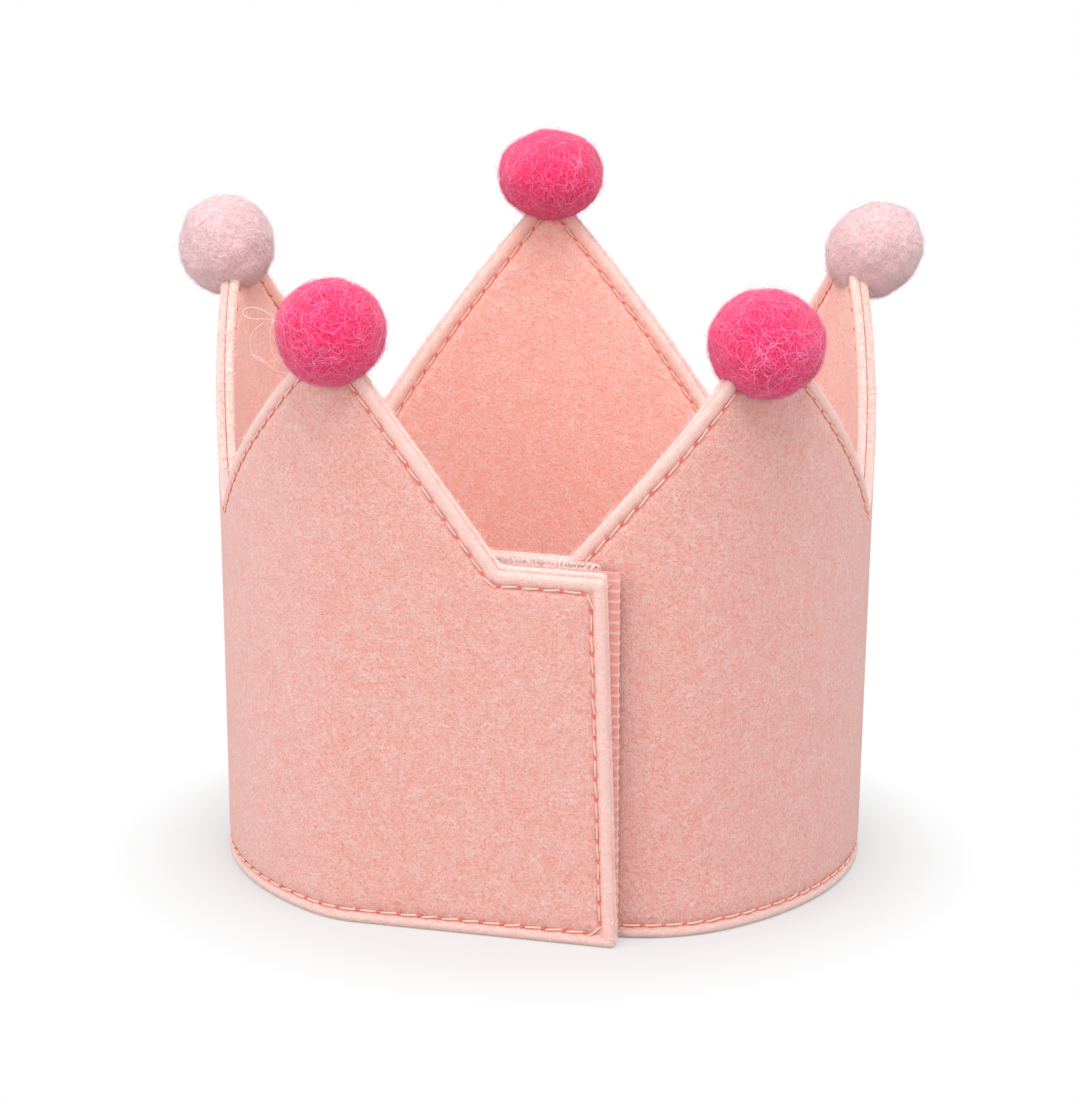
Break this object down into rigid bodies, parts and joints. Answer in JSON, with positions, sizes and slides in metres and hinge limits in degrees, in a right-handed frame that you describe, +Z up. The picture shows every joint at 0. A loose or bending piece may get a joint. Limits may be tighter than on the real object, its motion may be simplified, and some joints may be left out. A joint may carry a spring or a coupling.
{
  "type": "felt dress-up crown",
  "caption": "Open felt ring cut to tall points, each tipped with a wool ball, sewn from two layers and closed at the front by a hook and loop tape.",
  "frame": {"origin": "on the table, under the middle of the crown's overall box", "axes": "+Z up through the open ring, -Y out of the closure flap at the front, +X to the side that the flap points to"},
  "size_m": [0.1362, 0.127, 0.1221],
  "materials": {
    "pink_felt": "salmon pink craft felt, matt, with fine fibres",
    "lining_felt": "the same felt, seen on the inside",
    "clear_hook_tape": "clear moulded tape with rows of small hooks",
    "loop_tape_pile": "pale looped pile",
    "bright_pink_wool": "needle-felted wool, matt, with wandering fibres",
    "pale_pink_wool": "needle-felted wool, matt, with wandering fibres"
  },
  "bodies": {
    "root": {"outer_felt": "pink_felt", "inner_felt": "lining_felt", "hook_tape": "clear_hook_tape", "loop_tape": "loop_tape_pile", "ball_back": "bright_pink_wool", "ball_front_left": "bright_pink_wool", "ball_front_right": "bright_pink_wool", "ball_left": "pale_pink_wool", "ball_right": "pale_pink_wool"}
  },
  "joints": []
}
